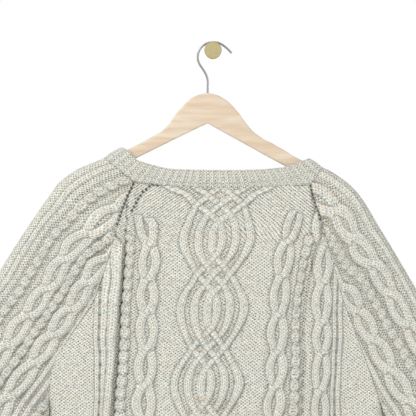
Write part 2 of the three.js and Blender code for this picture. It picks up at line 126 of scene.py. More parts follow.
# Sleeve sections: the upper fold, the raglan seam (below the underarm the lower edge), how far
# the seam stands off the hanger's plane, how far round the cloth has turned there, half the
# sleeve's thickness and the radius of the upper fold.
SLEEVE_NAMES = "top_x top_z seam_x seam_z seam_depth turn depth fold"
SLEEVES = {
    "left": columns(SLEEVE_NAMES, [
        [-166, -165, -121, -201, 15, 0, 15, 12],
        [-187, -174, -130, -221, 17, 0, 16, 12],
        [-210, -184, -139, -245, 19, 0, 17, 12],
        [-235, -202, -147, -273, 21, 0, 18, 12],
        [-248, -219, -156, -305, 23, 0, 19, 13],
        [-270, -250, -168, -343, 24, 0, 20, 13],
        [-300, -295, -185, -388, 24, 0, 21, 14],
        [-333, -347, -213, -430, 23, 0, 21, 14],
        [-372, -402, -242, -477, 21, 0, 21, 14],
        [-395, -434, -251, -522, 17, 25, 20, 14],
        [-418, -467, -254, -574, 0, 90, 18, 14],
        [-440, -503, -290, -604, 0, 90, 18, 14],
        [-462, -540, -330, -638, 0, 90, 18, 14],
        [-486, -585, -366, -668, 0, 90, 18, 14],
        [-508, -628, -402, -694, 0, 90, 17, 14],
        [-527, -668, -430, -712, 0, 90, 16, 14],
        [-535, -690, -446, -728, 0, 90, 13, 12],
        [-552, -735, -463, -771, 0, 90, 12, 11],
    ]),
    "right": columns(SLEEVE_NAMES, [
        [168, -180, 149, -206, 15, 0, 14, 12],
        [180, -187, 154, -226, 16, 0, 15, 12],
        [194, -196, 163, -250, 17, 0, 16, 12],
        [207, -205, 171, -277, 18, 0, 17, 12],
        [226, -226, 179, -308, 19, 0, 18, 13],
        [251, -268, 189, -345, 20, 0, 20, 14],
        [277, -311, 201, -388, 21, 0, 22, 15],
        [304, -357, 217, -430, 21, 0, 23, 16],
        [333, -407, 235, -478, 20, 0, 24, 16],
        [360, -453, 252, -526, 17, 25, 23, 17],
        [388, -500, 268, -578, 0, 90, 22, 18],
        [409, -538, 284, -612, 0, 90, 22, 18],
        [430, -576, 307, -646, 0, 90, 21, 18],
        [449, -614, 332, -676, 0, 90, 20, 17],
        [466, -653, 358, -705, 0, 90, 18, 16],
        [483, -692, 385, -733, 0, 90, 16, 14],
        [491, -714, 402, -750, 0, 90, 13, 12],
        [506, -757, 416, -791, 0, 90, 12, 11],
    ]),
}
UNDERARM = 10
CUFF_JOIN = 15
CUFF_END = 17
FRONT_NECK_DROP = 0.085

BODY = columns("axis_x axis_z depth side left_x left_z right_x right_z", [
    [12, -211, 16, 20, -121, -201, 149, -206],
    [11, -231, 17, 20, -130, -221, 154, -226],
    [10, -254, 18, 20, -139, -245, 163, -250],
    [9, -280, 20, 20, -147, -273, 171, -277],
    [8, -310, 22, 20, -156, -305, 179, -308],
    [5, -346, 24, 20, -168, -343, 189, -345],
    [3, -389, 25, 20, -185, -388, 201, -388],
    [-1, -431, 26, 20, -213, -430, 217, -430],
    [-7, -478, 27, 20, -242, -477, 235, -478],
    [-11, -525, 28, 20, -251, -522, 252, -526],
    [-14, -577, 28, 20, -254, -574, 268, -578],
    [-15, -625, 28, 20, -257, -622, 270, -628],
    [-16, -670, 27, 20, -259, -667, 271, -674],
    [-16, -710, 26, 20, -259, -707, 270, -715],
    [-16, -746, 25, 19, -256, -741, 267, -751],
    [-16, -767, 20, 15, -248, -762, 259, -772],
    [-16, -803, 19, 14, -246, -797, 257, -809],
])
RIB_JOIN = 14
HEM_END = 16
NECK_LEVEL, CHEST_LEVEL = -215, -515
PLEAT_START, PLEAT_FULL = -258, -305
PLEAT_EDGE, PLEAT_INSIDE, PLEAT_END = -184, -141, -134
KNIT_EDGE = 315
FRONT_NECK_DEPTH = 54

# Where each stitch column lies across the back: "knit" counts millimetres of knitting from the
# middle, "high" and "low" are its places at the neck and at the chest, and "rise" is how far it
# stands out. The rows from -204 to PLEAT_END are the deep pleat, in which the knitting turns
# back under itself.
BACK_COLUMNS = columns("knit high low rise", [
    [-320, -290, -290, 2],
    [-268, -238, -238, 2],
    [-248, -218, -218, 4],
    [-228, -198, -198, 5],
    [-204, -173, -174, 5.5],
    [-194, -147, -165, 5.5],
    [-187, -134, -156.8, 4.8],
    [-184.5, -131.2, -154.2, 3.8],
    [-182, -130, -153, 2.3],
    [-179.5, -131, -154, 1.0],
    [-177, -133.5, -156.5, 0.3],
    [-170, -141, -162.5, 0.2],
    [-165.5, -144, -165.4, -0.4],
    [-163.5, -144.8, -166.2, -1.6],
    [-161, -144, -165.4, -2.9],
    [-152, -137, -158, -3.4],
    [-144, -130.5, -150.5, -3.4],
    [-134, -122, -142, -1.5],
    [-118, -109, -121, 0.5],
    [-102, -96, -104, 1],
    [-86, -80, -88, 0.5],
    [-50, -38, -61, -0.5],
    [0, 12, -11, 1],
    [50, 62, 39, -0.5],
    [86, 98, 83, 0],
    [102, 113, 96, 1],
    [118, 125, 113, 0.5],
    [129, 132, 124.5, 0.5],
    [141, 139.5, 138, 0],
    [150, 149, 148, 1.5],
    [170, 172, 165, 3],
    [196, 196, 187, 2],
    [225, 222, 218, 1],
    [260, 256, 254, 0],
    [320, 316, 314, 0],
])
FRONT_COLUMNS = columns("knit high low rise", [
    [-320, -300, -300, 0],
    [-250, -232, -236, 0],
    [-205, -180, -186, 4],
    [-170, -152, -158, 4],
    [-146, -132, -140, -3],
    [-102, -94, -104, 1],
    [-50, -38, -61, 0],
    [0, 12, -11, 1],
    [50, 62, 39, 0],
    [102, 113, 99, 1],
    [146, 148, 143, -4],
    [170, 172, 166, 3],
    [200, 200, 192, 4],
    [250, 246, 240, 1],
    [320, 316, 310, 0],
])

# How far down the body the cables cross.
LATTICE_LEVELS = [238, 344, 457, 569, 681, 793]
CHAIN_LEVELS = {
    "left": [244, 299, 352, 402, 458, 514, 570, 626, 682, 738, 794],
    "right": [238, 293, 347, 406, 462, 516, 570, 626, 682, 738, 794],
    "outer": [301, 356, 417.5, 463.5, 522, 578, 634, 690, 746],
}

# The diamonds' strands between two medallions: places from the middle, in crossing steps.
DIAMOND_STEPS = [-3.87, -3, -2, -1, 0, 1, 2, 3, 3.87]
DIAMOND_STRANDS = {
    "outer": [-49, -47, -41.5, -33.5, -24.5, -12.3, 0, 6.2, 7.7],
    "middle": [-27.6, -26.4, -21.8, -12.3, 0, 12.3, 21.8, 26.4, 27.6],
    "inner": [-7.7, -6.2, 0, 12.3, 24.5, 33.5, 41.5, 47, 49],
}
DIAMOND_PITCH = 7.74
# Half the width of a strand, against its steps from the middle of a lattice.
DIAMOND_HALF_WIDTH = ([1.5, 3, 5], [5.0, 6.4, 6.8])
# The neck is stretched on the hanger: how much wider the diamonds are there, against depth.
NECK_SPREAD = ([205, 215, 222, 236, 250, 267, 289, 325], [1.85, 1.7, 1.5, 1.42, 1.25, 1.1, 1.07, 1])


# ---- Knitting laid on a surface -----------------------------------------------------------

class Knitting:
    """The relief of one piece. across and down are millimetres of knitting at each point, and
    ground is the real distance across the cloth, which sizes the plain stitches."""

    def __init__(self, across, down, ground=None):
        drift = 0.8 * np.sin(down / 23 + across / 47) + 0.4 * np.sin(down / 10 - across / 26)
        self.across, self.down = across + drift, down
        self.height = np.zeros_like(across)
        self.wale = (across if ground is None else ground) / STITCH
        self.course = down / ROW
        self.knit = np.zeros_like(across)
        self.lean = np.zeros_like(across)
        # Painted shade, carried to the material: in holes, in grooves and pits, and beside strands.
        self.hole_shade = np.zeros_like(across)
        self.painted_dark = np.zeros_like(across)
        self.beside = np.zeros_like(across)

    def lay(self, height, wale, course):
        """A strand shows wherever it stands above what is there already."""
        above = height > self.height
        self.height = np.where(above, height, self.height)
        self.wale = np.where(above, wale, self.wale)
        self.course = np.where(above, course, self.course)
        self.knit = np.where(above, 1.0, self.knit)

    def strand(self, path, lift, half_width, rise):
        """A raised strand of knit stitches. path gives its place across at each row."""
        offset = self.across - path(self.down)
        slope = (path(self.down + 1) - path(self.down - 1)) / 2
        share = offset / np.hypot(1, slope) / half_width
        dome = np.clip(1 - np.abs(share) ** 2.4, 0, 1)
        # beside marks the purl ground next to the strand, which gets painted shade.
        beside = np.clip(1.7 - np.abs(share), 0, 0.6) / 0.6 * (lift(self.down) > -rise)
        self.beside = np.maximum(self.beside, beside)
        height = np.where(np.abs(share) < 1, (rise + lift(self.down)) * dome, -9)
        self.lay(height, share * half_width / STITCH, self.down / ROW)

    def chain(self, centre, levels, sway=10.8, half_width=7.4, rise=CABLE_RISE, opening=0.66,
              start=NO_START, lift=CROSSING_LIFT, drift=STRAIGHT):
        """Two strands that swap places at each level, always crossing the same way. drift is a
        list of (down, shift across) that bends the whole chain."""
        levels = np.asarray(levels, dtype=float)

        def phase(down):
            first, last = levels[1] - levels[0], levels[-1] - levels[-2]
            n = np.interp(down, levels, np.arange(len(levels)))
            n = n + np.minimum(down - levels[0], 0) / first
            return n + np.maximum(down - levels[-1], 0) / last

        def place(sign):
            def path(down):
                wave = np.sin(np.pi * phase(down))
                middle = centre + bent(drift, down)
                return middle + sign * sway * np.sign(wave) * np.abs(wave) ** opening
            return path

        for sign in (1, -1):
            def over(down, sign=sign):
                begun = smooth((down - start) / 14)
                return -sign * lift * np.cos(np.pi * phase(down)) - 6 * (1 - begun)
            self.strand(place(sign), over, half_width, rise)

    def rope(self, centre, pitch=18.6, shift=0.0, sway=2.7, half_width=4.8, rise=3.6,
             start=NO_START, drift=STRAIGHT):
        """A narrow twisted rope, which looks like a row of beads."""
        low, high = self.down.min() - pitch, self.down.max() + pitch
        levels = np.arange(low - low % pitch + shift, high, pitch)
        self.chain(centre, levels, sway, half_width, rise, 1.0, start, 1.4, drift)
        middle = centre + bent(drift, self.down)
        # A pit at each repeat of the rope, darkened with painted shade.
        beads = (0.5 + 0.5 * np.cos(2 * np.pi * (self.down - shift) / pitch)) ** 2
        spot = beads * np.exp(-((self.across - middle) / 7) ** 2) * (self.down > start)
        self.height = self.height - 2.2 * spot
        self.painted_dark = np.maximum(self.painted_dark, 0.8 * spot)

    def rib(self, centre, half_width=4.6, rise=2.2):
        """A single straight column of knit stitches."""
        self.strand(lambda down: centre + 0 * down, lambda down: 0 * down, half_width, rise)

    def groove(self, centre, depth, width, painted_dark, drift=STRAIGHT):
        """A hollow line, as where the cloth is folded, with painted shade in it as dark as given.
        """
        middle = centre + bent(drift, self.down)
        line = np.exp(-((self.across - middle) / width) ** 2)
        self.height = self.height - depth * line
        self.painted_dark = np.maximum(self.painted_dark, painted_dark * line)

    def dots(self, centre, pitch, shift, depth):
        """A row of small holes, one every four rows: small pits, and depth is how dark their
        painted shade is.
        """
        along = (self.down - shift + pitch / 2) % pitch - pitch / 2
        spot = np.exp(-((self.across - centre) / 2.1) ** 2 - (along / 2.4) ** 2)
        self.height = self.height - 1.8 * spot
        self.hole_shade = np.maximum(self.hole_shade, depth * spot)

    def diamonds(self, centre, levels):
        """Six strands in nested diamonds, plaited through each other between the medallions."""
        levels = np.asarray(levels, dtype=float)
        nearest = np.abs(self.down[..., None] - levels).argmin(axis=-1)
        middles = (levels[1:] + levels[:-1]) / 2
        pitch = np.diff(levels).mean()
        bounds = np.concatenate([[levels[0] - pitch / 2], middles, [levels[-1] + pitch / 2]])
        low, high = bounds[nearest], bounds[nearest + 1]
        home = levels[nearest]

        def step(down):
            upper = (down - home) / (home - low)
            lower = (down - home) / (high - home)
            return np.where(down < home, upper, lower) * DIAMOND_PITCH / 2

        at_steps = np.arange(len(DIAMOND_STEPS))
        for places in DIAMOND_STRANDS.values():
            for mirror in (1, -1):
                def path(down, places=places, mirror=mirror):
                    index = np.interp(step(down), DIAMOND_STEPS, at_steps)
                    spread = np.interp(down, *NECK_SPREAD)
                    return centre + mirror * flowing(places, index) * spread

                def over(down, mirror=mirror):
                    q = step(down)
                    near = smooth((2.9 - np.abs(q)) / 0.8)
                    return -mirror * CROSSING_LIFT * np.cos(np.pi * q) * near

                width = np.interp(np.abs(step(self.down)), *DIAMOND_HALF_WIDTH)
                self.strand(path, over, width, CABLE_RISE)

    def eyelets(self, x, z, line, pitch=6.6, radius=2.0):
        """Small round holes along a line of (x, z) points: shallow pits with painted shade in them.
        """
        line = np.array(line, dtype=float)
        lengths = run_of(line)
        for s in np.arange(pitch / 2, lengths[-1], pitch):
            hx, hz = np.interp(s, lengths, line[:, 0]), np.interp(s, lengths, line[:, 1])
            spot = np.exp(-((x - hx) ** 2 + (z - hz) ** 2) / radius ** 2)
            self.height = self.height - 1.5 * spot
            self.hole_shade = np.maximum(self.hole_shade, np.minimum(1.6 * spot, 1))


def blurred(grid, size):
    """Running mean over a grid, for the shade that gathers in hollows."""
    for axis in (0, 1):
        for _ in range(2):
            padded = np.pad(grid, [(size, size) if a == axis else (0, 0) for a in (0, 1)], "edge")
            total = np.cumsum(padded, axis=axis)
            zero = np.zeros_like(np.take(total, [0], axis=axis))
            total = np.concatenate([zero, total], axis=axis)
            width = 2 * size + 1
            high = np.take(total, range(width, total.shape[axis]), axis=axis)
            low = np.take(total, range(0, total.shape[axis] - width), axis=axis)
            grid = (high - low) / width
    return grid


# ---- Surfaces -----------------------------------------------------------------------------

def raglan(side, face, k):
    """The raglan seam at section k: x, z, depth and turn."""
    table = SLEEVES[side]
    if face == "front":
        k = k + FRONT_NECK_DROP * UNDERARM * np.clip(1 - k / UNDERARM, 0, 1)
    place = [flowing(table[name], k) for name in ("seam_x", "seam_z")]
    return place + [monotone(table[name], k) for name in ("seam_depth", "turn")]


def body_row(k, face, across_share):
    """One section of the body: x, z and depth off the hanger's plane, and knitting across."""
    value = {name: monotone(BODY[name], k) for name in ("axis_x", "axis_z", "depth", "side")}
    ends = {}
    for side in ("left", "right"):
        if k <= UNDERARM:
            ends[side] = raglan(side, face, k)
        else:
            ends[side] = [float(flowing(BODY[f"{side}_{a}"], k)) for a in "xz"] + [0.0, 90.0]
    drop = FRONT_NECK_DEPTH * max(0.0, 1 - k / UNDERARM) ** 2 if face == "front" else 0.0
    lean = np.clip((value["axis_z"] - NECK_LEVEL) / (CHEST_LEVEL - NECK_LEVEL), 0, 1.3)
    table = BACK_COLUMNS if face == "back" else FRONT_COLUMNS
    pleat = float(smooth((value["axis_z"] - PLEAT_START) / (PLEAT_FULL - PLEAT_START)))
    rib_flat = lerp(1.0, 0.35, float(smooth(k - RIB_JOIN)))
    knit = np.linspace(-KNIT_EDGE, KNIT_EDGE, 4 * KNIT_EDGE + 1)
    folded = lerp(np.interp(knit, table["knit"], table["high"]),
                  np.interp(knit, table["knit"], table["low"]), lean)
    plain = folded
    if face == "back":
        beyond = np.interp(PLEAT_END, knit, folded) + (knit - PLEAT_END)
        plain = np.where(knit < PLEAT_END, beyond, folded)
    places = lerp(plain, folded, pleat)
    side, turned, flat_x, side_depth, limit = value["side"], [], [], [], []
    for n, name in enumerate(("left", "right")):
        x, z, depth, turn = ends[name]
        angle = math.radians(turn)
        outward = -1 if n == 0 else 1
        turned.append(angle)
        flat_x.append(x - outward * side * math.sin(angle))
        side_depth.append(depth + side * (1 - math.cos(angle)))
        if n == 0:
            ends_of = [knit[np.argmax(p > flat_x[0])] for p in (plain, folded)]
            limit.append(lerp(ends_of[0], ends_of[1], pleat))
        else:
            limit.append(knit[len(knit) - 1 - np.argmax(places[::-1] < flat_x[1])])
    low = limit[0] - side * turned[0]
    high = limit[1] + side * turned[1]
    c = lerp(low, high, across_share)
    over = [np.clip(limit[0] - c, 0, None) / side, np.clip(c - limit[1], 0, None) / side]
    shift = flat_x[0] - np.interp(limit[0], knit, places)
    x = np.interp(np.clip(c, *limit), knit, places)
    x = x + shift * np.clip(1 - (c - limit[0]) / 30, 0, 1)
    x = np.clip(x, flat_x[0], flat_x[1])
    x = x - side * np.sin(over[0]) + side * np.sin(over[1])
    left = c < 0
    flat_end = np.where(left, flat_x[0], flat_x[1])
    distance = np.abs(np.clip(x, *flat_x) - flat_end)
    span = np.abs(flat_end - value["axis_x"])
    base = lerp(np.where(left, *side_depth), value["depth"], smooth(distance / span))
    rise = np.interp(c, table["knit"], table["rise"])
    base = base + rise * pleat * smooth(distance / 25) * rib_flat
    for angle in over:
        base = base - side * (1 - np.cos(angle))
    end_x = np.where(left, ends["left"][0], ends["right"][0])
    end_z = np.where(left, ends["left"][1], ends["right"][1])
    share = np.clip((x - value["axis_x"]) / (end_x - value["axis_x"]), 0, 1)
    z = lerp(value["axis_z"] - drop, end_z, share * share)
    return x, z, base, c


def body_surface(face, sections, count):
    share = np.linspace(0, 1, count)
    rows = [body_row(k, face, share) for k in sections]
    x, z, depth, across = (np.array([row[i] for row in rows]) for i in range(4))
    sag = 1.3 * np.sin(x / 47 + z / 90) * np.sin(z / 75 + 1) + 0.8 * np.sin(x / 26 - z / 60)
    calm = smooth(depth / 12)
    depth = depth + sag * calm
    sign = -1 if face == "back" else 1
    points = np.stack([x, HANG_Y + sign * depth, z], axis=-1)
    if face == "front":
        points, across = points[:, ::-1], across[:, ::-1]
    return points, across, -points[..., 2]


def sleeve_half(side, face, k, count):
    """Half of a sleeve section, from the upper fold to the seam."""
    table = SLEEVES[side]
    top = np.array([flowing(table[name], k) for name in ("top_x", "top_z")])
    depth, fold = (float(monotone(table[name], k)) for name in ("depth", "fold"))
    if k <= UNDERARM:
        seam_x, seam_z, seam_depth, turn = (float(v) for v in raglan(side, face, k))
    else:
        seam_x, seam_z = (float(flowing(table[name], k)) for name in ("seam_x", "seam_z"))
        seam_depth, turn = 0.0, 90.0
    low = np.array([seam_x, seam_z])
    width = np.linalg.norm(low - top)
    turned = math.radians(turn)
    flat_end = width - depth * math.sin(turned)
    flat_depth = seam_depth + depth * (1 - math.cos(turned))
    first = fold * math.pi / 2
    total = first + (flat_end - fold) + depth * turned
    m = np.linspace(0, 1, count) * total
    round_angle = np.clip(m / fold, 0, math.pi / 2)
    flat = np.clip(m - first, 0, flat_end - fold)
    low_angle = np.clip((m - first - (flat_end - fold)) / depth, 0, None)
    share = flat / (flat_end - fold)
    bulge = (depth - fold) * np.sin(math.pi * share * 0.5)
    base = lerp(fold + bulge, flat_depth, smooth(share))
    base = base - fold * (1 - np.sin(round_angle)) - depth * (1 - np.cos(low_angle))
    distance = fold * (1 - np.cos(round_angle)) + flat + depth * np.sin(low_angle)
    spot = top + (low - top) * (distance / width)[:, None]
    return spot[:, 0], spot[:, 1], base, m - fold * (math.pi / 2 - 1)


def sleeve_surface(side, sections, back_count, front_count):
    """Rows from the neck to the cuff. Columns go from seam to seam over the upper fold."""
    fine = np.linspace(0, CUFF_END, 400)
    tops = [flowing(SLEEVES[side][name], fine) for name in ("top_x", "top_z")]
    run = run_of(np.transpose(tops))
    points, across, down = [], [], []
    for k in sections:
        bx, bz, bd, ba = sleeve_half(side, "back", k, back_count)
        fx, fz, fd, fa = sleeve_half(side, "front", k, front_count)
        x = np.concatenate([bx[::-1], fx[1:]])
        z = np.concatenate([bz[::-1], fz[1:]])
        y = np.concatenate([HANG_Y - bd[::-1], HANG_Y + fd[1:]])
        points.append(np.stack([x, y, z], axis=-1))
        across.append(np.concatenate([ba[::-1], -fa[1:]]))
        down.append(np.full(len(x), np.interp(k, fine, run)))
    points, across, down = np.array(points), np.array(across), np.array(down)
    if side == "left":
        points, across, down = points[:, ::-1], across[:, ::-1], down[:, ::-1]
    return points, across, down


def grid_normals(points, ring=False):
    down = np.gradient(points, axis=0)
    if ring:
        across = np.roll(points, -1, axis=1) - np.roll(points, 1, axis=1)
    else:
        across = np.gradient(points, axis=1)
    normal = np.cross(down, across)
    return normal / np.maximum(np.linalg.norm(normal, axis=-1, keepdims=True), 1e-9)


# ---- Meshes -------------------------------------------------------------------------------

def mesh(name, points, faces, material):
    """A piece from points in millimetres."""
    data = bpy.data.meshes.new(name)
    points = np.asarray(points, dtype=np.float32) * MM
    data.vertices.add(len(points))
    data.vertices.foreach_set("co", points.ravel())
    sizes = np.array([len(face) for face in faces])
    loops = np.concatenate([np.asarray(face) for face in faces])
    data.loops.add(len(loops))
    data.loops.foreach_set("vertex_index", loops)
    data.polygons.add(len(faces))
    data.polygons.foreach_set("loop_start", np.concatenate([[0], np.cumsum(sizes)[:-1]]))
    data.polygons.foreach_set("use_smooth", np.ones(len(faces), dtype=bool))
    data.update(calc_edges=True)
    data.validate()
    data.materials.append(material)
    piece = bpy.data.objects.new(name, data)
    bpy.context.scene.collection.objects.link(piece)
    return piece


def quads(index):
    """The quads of a grid of vertex numbers."""
    a, b = index[:-1, :-1].ravel(), index[:-1, 1:].ravel()
    c, d = index[1:, 1:].ravel(), index[1:, :-1].ravel()
    return np.stack([a, d, c, b], axis=-1)


def joined_edges(fine, coarse, step):
    """Triangles between a fine edge and the coarse edge behind it."""
    faces = []
    for j in range(len(coarse) - 1):
        start, middle = j * step, j * step + step // 2
        for i in range(start, start + step):
            faces.append([fine[i], fine[i + 1], coarse[j] if i < middle else coarse[j + 1]])
        faces.append([fine[middle], coarse[j + 1], coarse[j]])
    return faces


# Painted shade: a hollow this deep is painted fully dark, and the ground beside a strand
# is painted this share of it.
DARK_HOLLOW = 2.4
BESIDE_STRAND_SHADE = 0.85


def cloth_piece(name, base, knitting, material, step=INNER_STEP):
    """A thin shell: the knitted outer skin, and a plainer inner skin behind it."""
    normals = grid_normals(base)
    outer = base + normals * knitting.height[..., None]
    rows, cols = base.shape[:2]
    inner = base[::step, ::step] - normals[::step, ::step] * CLOTH
    index = np.arange(rows * cols).reshape(rows, cols)
    back = np.arange(inner.shape[0] * inner.shape[1]).reshape(inner.shape[:2]) + rows * cols
    faces = quads(index).tolist() + quads(back)[:, ::-1].tolist()
    faces += joined_edges(index[0], back[0], step)
    faces += [f[::-1] for f in joined_edges(index[-1], back[-1], step)]
    faces += [f[::-1] for f in joined_edges(index[:, 0], back[:, 0], step)]
    faces += joined_edges(index[:, -1], back[:, -1], step)
    points = np.concatenate([outer.reshape(-1, 3), inner.reshape(-1, 3)])
    piece = mesh(name, points, faces, material)
    # Painted shade: darker in the hollows of the relief, in grooves and pits, and beside strands.
    hollow_shade = np.clip((blurred(knitting.height, 2) - knitting.height) / DARK_HOLLOW, 0, 1)
    beside = BESIDE_STRAND_SHADE * knitting.beside * (1 - knitting.knit)
    knitting.shade = np.maximum(np.maximum(hollow_shade, knitting.painted_dark), beside)
    add_values(piece, knitting, step)
    return piece


def add_values(piece, knitting, step=None):
    """Stores the stitch coordinates as a UV map, and as attributes the kind of stitch, the painted
    shade and the painted shade of the holes. With a step, the inner skin's points follow the
    outer skin's."""
    data = piece.data

    def values(grid):
        if step is None:
            return grid.ravel()
        return np.concatenate([grid.ravel(), grid[::step, ::step].ravel()])

    vertex = np.zeros(len(data.loops), dtype=np.int32)
    data.loops.foreach_get("vertex_index", vertex)
    uv = np.stack([values(knitting.wale)[vertex], values(knitting.course)[vertex]], axis=-1)
    data.uv_layers.new(name="stitches").data.foreach_set("uv", uv.astype(np.float32).ravel())
    for name in ("knit", "shade", "lean", "hole_shade"):
        layer = data.attributes.new(name, "FLOAT", "POINT")
        layer.data.foreach_set("value", values(getattr(knitting, name)).astype(np.float32))


# ---- Materials ----------------------------------------------------------------------------

def linear(hex_colour):
    """An sRGB hex colour as linear RGBA."""
    parts = [int(hex_colour[i:i + 2], 16) / 255 for i in (0, 2, 4)]
    return [c / 12.92 if c <= 0.04045 else ((c + 0.055) / 1.055) ** 2.4 for c in parts] + [1.0]


def new_material(name):
    material = bpy.data.materials.new(name)
    material.use_nodes = True
    material.node_tree.nodes.clear()
    return material, material.node_tree


def node(tree, kind, inputs=None, **settings):
    """Adds one node. inputs maps a socket's name or number to a value or to another socket."""
    made = tree.nodes.new(kind)
    for key, value in settings.items():
        setattr(made, key, value)
    for key, value in (inputs or {}).items():
        socket = made.inputs[key]
        if isinstance(value, bpy.types.NodeSocket):
            tree.links.new(value, socket)
        else:
            socket.default_value = value
    return made


# The sockets of a Mix node that carry colours.
MIX_A, MIX_B, MIX_RESULT = 6, 7, 2


def knitted_wool():
    """Marled wool yarn, softly spun: pale oat with blue-grey and beige flecks, matt, with a
    faint haze of fibres. The stitches are drawn in their own coordinates: knit stitches as
    rows of V legs, purl stitches as staggered bumps, with painted shade in the small gaps
    between them."""
    material, tree = new_material("marled_wool_knit")
    uv = node(tree, "ShaderNodeUVMap", uv_map="stitches").outputs[0]
    value = {name: node(tree, "ShaderNodeAttribute", attribute_name=name).outputs["Fac"]
             for name in ("knit", "shade", "lean", "hole_shade")}
    turn = 2 * math.pi

    def m(operation, *values):
        made = node(tree, "ShaderNodeMath", dict(enumerate(values)), operation=operation)
        return made.outputs[0]

    def noise(scale, detail=2.0, roughness=0.6, seed=0.0):
        made = node(tree, "ShaderNodeTexNoise", {"Vector": uv, "Scale": scale, "Detail": detail,
                                                 "Roughness": roughness, "W": seed},
                    noise_dimensions="4D")
        return made.outputs[0]

    def window(source, low, high):
        return node(tree, "ShaderNodeMapRange", {"Value": source, "From Min": low,
                                                 "From Max": high}).outputs[0]

    def blend(factor, a, b):
        """A colour between a and b."""
        made = node(tree, "ShaderNodeMix", {0: factor, MIX_A: a, MIX_B: b}, data_type="RGBA")
        return made.outputs[MIX_RESULT]

    def mixed(factor, a, b):
        """A value between a and b."""
        return m("ADD", a, m("MULTIPLY", factor, m("SUBTRACT", b, a)))

    # Yarn that wavers a little, so that no row is ruled straight.
    split = node(tree, "ShaderNodeSeparateXYZ", {0: uv})
    wale = m("ADD", split.outputs[0], m("MULTIPLY", m("SUBTRACT", noise(0.9, 1.0), 0.5), 0.5))
    course = m("ADD", split.outputs[1],
               m("MULTIPLY", m("SUBTRACT", noise(0.8, 1.0, seed=3.0), 0.5), 0.5))

    # Knit stitch: two legs that lean apart, low between the columns, which painted shade darkens.
    from_middle = m("ABSOLUTE", m("SUBTRACT", m("FRACT", wale), 0.5))
    legs = m("COSINE", m("MULTIPLY", m("ADD", course, m("MULTIPLY", from_middle, 1.2)), turn))
    ridge = m("POWER", m("SINE", m("MULTIPLY", from_middle, turn)), 0.6)
    knit_height = m("ADD", m("MULTIPLY", legs, 0.62), m("SUBTRACT", ridge, 0.7))

    # Purl stitch: two crossed sets of slanting lines, whose low crossings are the gaps, with
    # painted shade.
    left_lines = m("COSINE", m("MULTIPLY", m("ADD", wale, course), turn))
    right_lines = m("COSINE", m("MULTIPLY", m("SUBTRACT", wale, course), turn))
    half_lean = m("MULTIPLY", value["lean"], 0.5)
    purl_height = m("ADD", m("MULTIPLY", left_lines, m("ADD", 0.5, half_lean)),
                    m("MULTIPLY", right_lines, m("SUBTRACT", 0.5, half_lean)))

    # Plies and loose fibres of the yarn. Real plies are under 1 mm: they are drawn 1.5 mm wide,
    # so that they show.
    plies = noise(4.3, 3.0, 0.7, seed=1.0)
    stitch = mixed(value["knit"], purl_height, knit_height)
    surface = m("ADD", m("MULTIPLY", stitch, 0.6), plies)
    bump = node(tree, "ShaderNodeBump", {"Height": surface, "Strength": 0.9,
                                         "Distance": 1.6 * MM}).outputs[0]

    # Flecks: each length of yarn takes its own tint.
    colour = blend(window(noise(2.6, 3.0, 0.75), 0.36, 0.64), linear("DCDDD0"), linear("FAFAEF"))
    colour = blend(m("MULTIPLY", window(noise(1.9, 2.0, seed=4.0), 0.52, 0.66), 0.75),
                   colour, linear("B2BDC2"))
    colour = blend(m("MULTIPLY", window(noise(1.6, 2.0, seed=9.0), 0.54, 0.68), 0.75),
                   colour, linear("DCBF9C"))
    # Painted shade: the yarn is darkened between the stitches and in the hollows of the cables.
    purl_gap_shade = window(purl_height, 0.1, -0.75)
    knit_gap_shade = m("MULTIPLY", window(knit_height, 0.0, -0.9), 0.85)
    gap_shade = mixed(value["knit"], purl_gap_shade, knit_gap_shade)
    gap_shade = m("MULTIPLY", gap_shade, window(noise(1.3, 1.0, seed=6.0), 0.15, 0.6))
    colour = blend(m("MULTIPLY", gap_shade, 0.95), colour, linear("6C6A5C"))
    deeper_shade = m("MULTIPLY", value["shade"], m("ADD", 0.22, m("MULTIPLY", gap_shade, 0.7)))
    colour = blend(deeper_shade, colour, linear("4A483C"))
    # Painted shade in the holes: nearly black, for the shade inside each hole.
    colour = blend(m("MULTIPLY", value["hole_shade"], 0.92), colour, linear("2C2A22"))

    shader = node(tree, "ShaderNodeBsdfPrincipled", {
        "Base Color": colour, "Normal": bump, "Roughness": 0.95, "Specular IOR Level": 0.2,
        "Sheen Weight": 0.2, "Sheen Roughness": 0.6})
    node(tree, "ShaderNodeOutputMaterial", {"Surface": shader.outputs[0]})
    return material


def hanger_wood():
    """Pale sanded softwood under a satin lacquer: fine grain along the board."""
    material, tree = new_material("lacquered_pale_wood")
    place = node(tree, "ShaderNodeTexCoord").outputs["Object"]
    stretched = node(tree, "ShaderNodeMapping", {"Vector": place, "Scale": (14, 60, 120)})
    grain = node(tree, "ShaderNodeTexNoise", {"Vector": stretched.outputs[0], "Scale": 1.0,
                                              "Detail": 5.0, "Distortion": 0.6}).outputs[0]
    fine = node(tree, "ShaderNodeTexNoise", {"Vector": stretched.outputs[0], "Scale": 6.0,
                                             "Detail": 3.0}).outputs[0]
    ramp = node(tree, "ShaderNodeValToRGB", {"Fac": grain})
    ramp.color_ramp.elements[0].position = 0.35
    ramp.color_ramp.elements[0].color = linear("C9B296")
    ramp.color_ramp.elements[1].position = 0.65
    ramp.color_ramp.elements[1].color = linear("D7C7B2")
    bump = node(tree, "ShaderNodeBump", {"Height": fine, "Strength": 0.15,
                                         "Distance": 0.3 * MM}).outputs[0]
    shader = node(tree, "ShaderNodeBsdfPrincipled", {
        "Base Color": ramp.outputs[0], "Normal": bump, "Roughness": 0.42,
        "Coat Weight": 0.25, "Coat Roughness": 0.3})
    node(tree, "ShaderNodeOutputMaterial", {"Surface": shader.outputs[0]})
    return material


